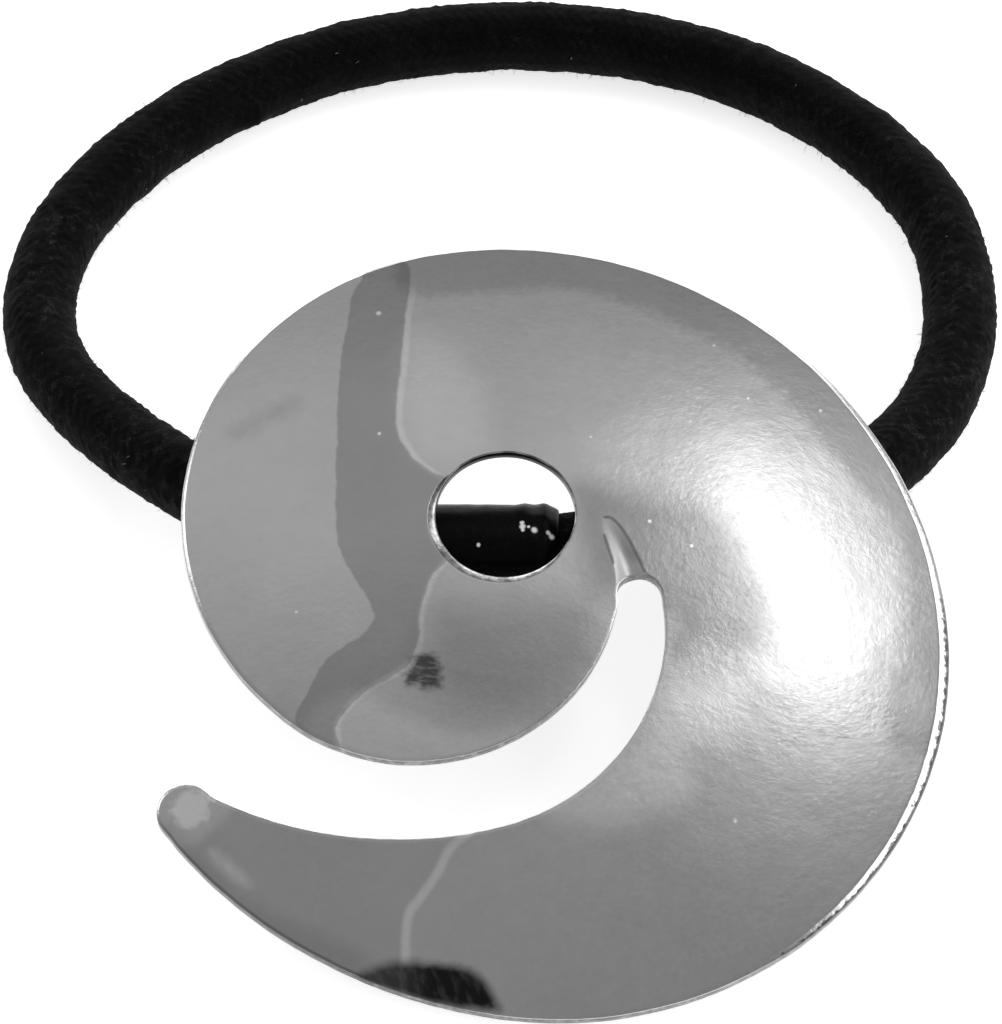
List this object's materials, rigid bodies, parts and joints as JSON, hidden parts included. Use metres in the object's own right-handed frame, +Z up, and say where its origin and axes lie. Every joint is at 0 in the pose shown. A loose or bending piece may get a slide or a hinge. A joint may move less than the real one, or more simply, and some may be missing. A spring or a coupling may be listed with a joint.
{
  "type": "spiral hair tie",
  "caption": "Domed spiral plate of satin sheet metal with a round hole and a leaf-shaped dent, carried on a loop of round covered elastic that goes round a ponytail.",
  "frame": {"origin": "on the surface that the tie lies on, under the middle of its whole outline", "axes": "+Z up from that surface, -Y towards the front edge of the plate, +X to the right seen from the front"},
  "size_m": [0.0658, 0.0829, 0.0124],
  "materials": {
    "plate_metal": "satin, with soft sanding marks, darker tarnish and small stains",
    "elastic_cover": "fine black braid, slightly fuzzy",
    "sleeve_plastic": "black, glossy and slightly wrinkled"
  },
  "bodies": {
    "root": {"spiral_plate": "plate_metal", "elastic_cord": "elastic_cover", "join_sleeve": "sleeve_plastic"}
  },
  "joints": []
}
